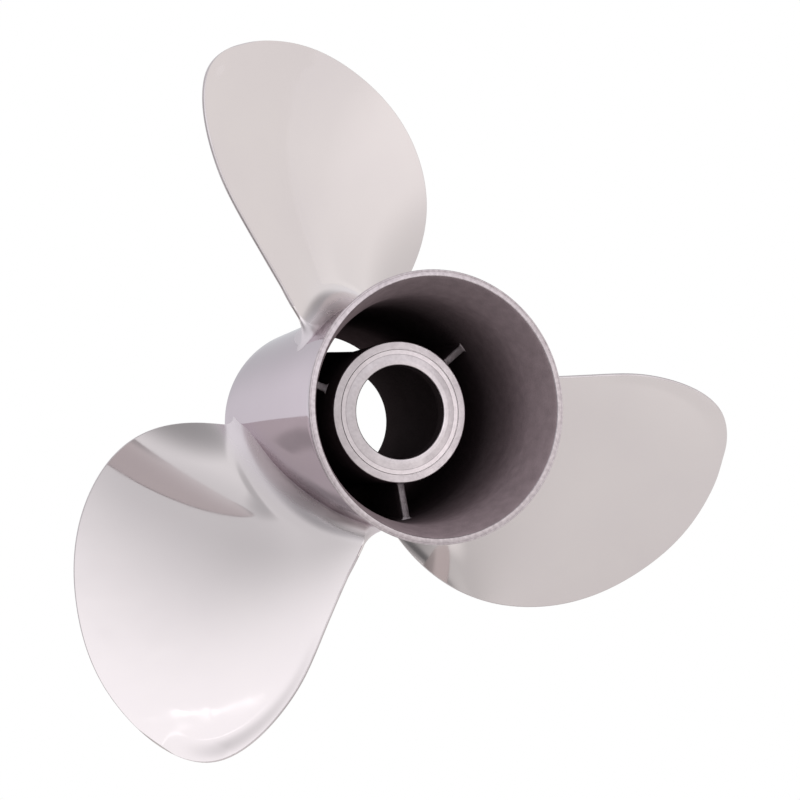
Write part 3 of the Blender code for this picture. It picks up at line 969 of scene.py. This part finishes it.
def floor_white():
    """Pale floor, plain white to the eye, whose soft zones show only in the steel."""
    material, tree, shader = principled("floor_white", FLOOR_COLOUR, roughness=0.9, metallic=0.0)
    place = object_place(tree)
    glow = summed(tree, FLOOR_GLOW, [floor_zone(tree, place, *zone) for zone in FLOOR_ZONES])
    feed(tree, shader["Emission Strength"], glow)
    shader["Emission Color"].default_value = (*FLOOR_TINT, 1.0)
    lit = tree.nodes["Principled BSDF"].outputs["BSDF"]
    white = tree.nodes.new("ShaderNodeEmission").outputs["Emission"]
    white_to_camera(tree, lit, white, tree.nodes["Material Output"].inputs["Surface"])
    return material


def studio():
    """Plain white room with soft lights, and a pale lit floor under the lowest blade tips."""
    world = bpy.data.worlds.new("white_room")
    bpy.context.scene.world = world
    world.use_nodes = True
    tree = world.node_tree
    place = tree.nodes.new("ShaderNodeTexCoord").outputs["Generated"]
    warmth = room_zone(tree, place, *WARM_ZONE)
    level = summed(tree, ROOM_LEVEL, [room_zone(tree, place, *zone) for zone in ROOM_ZONES])
    room = tree.nodes["Background"]
    feed(tree, room.inputs["Color"], mixed(tree, warmth, (*ROOM_TINT, 1.0), (*WARM_TINT, 1.0)))
    feed(tree, room.inputs["Strength"], level)
    backdrop = node(tree, "ShaderNodeBackground", Color=(1.0, 1.0, 1.0, 1.0))
    lit = room.outputs["Background"]
    white = backdrop.outputs["Background"]
    white_to_camera(tree, lit, white, tree.nodes["World Output"].inputs["Surface"])
    half = 0.5 * FLOOR_SIZE
    corners = [(-half, -half), (half, -half), (half, half), (-half, half)]
    floor = link("floor", [(x, y, FLOOR_LEVEL) for x, y in corners], [(0, 1, 2, 3)])
    floor.data.materials.append(floor_white())
    bpy.context.scene.view_settings.view_transform = "Standard"


def camera():
    """The camera of the photograph: placed round its target, then rolled."""
    data = bpy.data.cameras.new("camera")
    data.sensor_width = SENSOR_MM
    data.sensor_fit = "HORIZONTAL"
    data.lens = SENSOR_MM * FOCAL_PIXELS / IMAGE_SIZE
    data.clip_start = CAMERA_CLIP_START
    item = bpy.data.objects.new("camera", data)
    bpy.context.scene.collection.objects.link(item)
    flat = math.cos(CAMERA_ELEVATION)
    back = Vector((
        math.sin(CAMERA_AZIMUTH) * flat,
        -math.cos(CAMERA_AZIMUTH) * flat,
        math.sin(CAMERA_ELEVATION),
    ))
    right = (-back).cross(Vector((0.0, 0.0, 1.0))).normalized()
    up = right.cross(-back)
    cosine = math.cos(CAMERA_ROLL)
    sine = math.sin(CAMERA_ROLL)
    rolled_right = cosine * right + sine * up
    rolled_up = cosine * up - sine * right
    axes = Matrix((rolled_right, rolled_up, back)).transposed()
    place = Matrix.Translation(Vector(CAMERA_TARGET) + CAMERA_DISTANCE * back)
    item.matrix_world = place @ axes.to_4x4()
    bpy.context.scene.camera = item


def dress(piece, nodes, materials):
    """Finishes a piece, hangs it on the body it rides on, and hides the solids it stands for."""
    for material in materials:
        piece.data.materials.append(material)
    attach(piece, "root")
    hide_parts(*nodes)


def build():
    """All the pieces, each with its materials in the order of its slots."""
    polished = polished_steel(
        "blade_polish", BLADE_COLOURS, BLADE_EDGE_TINT, BLADE_HAZE, BLADE_SHADES
    )
    flank = polished_steel(
        "barrel_polish", BARREL_COLOURS, BARREL_EDGE_TINT, BARREL_HAZE, BARREL_SHADES
    )
    edge = edge_steel()
    rooted(polished)
    hub_face = machined_steel("hub_face_steel", HUB_FACE_COLOURS, RING_SHADES)
    ring_face = machined_steel("ring_face_steel", RING_FACE_COLOURS, RING_SHADES)
    ring_lip = machined_steel("ring_lip_steel", RING_LIP_COLOURS, RING_SHADES)
    ring_step_shade = machined_steel("ring_step_shade_steel", RING_STEP_SHADE_COLOURS, RING_SHADES)
    rim = machined_steel("rim_steel", RIM_COLOURS, RIM_SHADES)
    cast = cast_steel()
    passage = passage_steel()
    cavity = cavity_steel()
    ring_steels = [ring_face, ring_lip, cavity, ring_step_shade]
    dress(barrel_piece(), ["exhaust_barrel"], [flank, rim, passage])
    dress(hub_piece(), ["inner_hub"], [flank, hub_face, passage, cavity])
    dress(ring_piece(), ["hub_end_ring"], ring_steels)
    for index in range(RIB_COUNT):
        dress(rib_piece(index), [f"rib_{index + 1}"], [cast, passage])
    for index in range(BLADE_COUNT):
        dress(blade_piece(index), [f"blade_{index + 1}"], [polished, edge])


build()
studio()
camera()
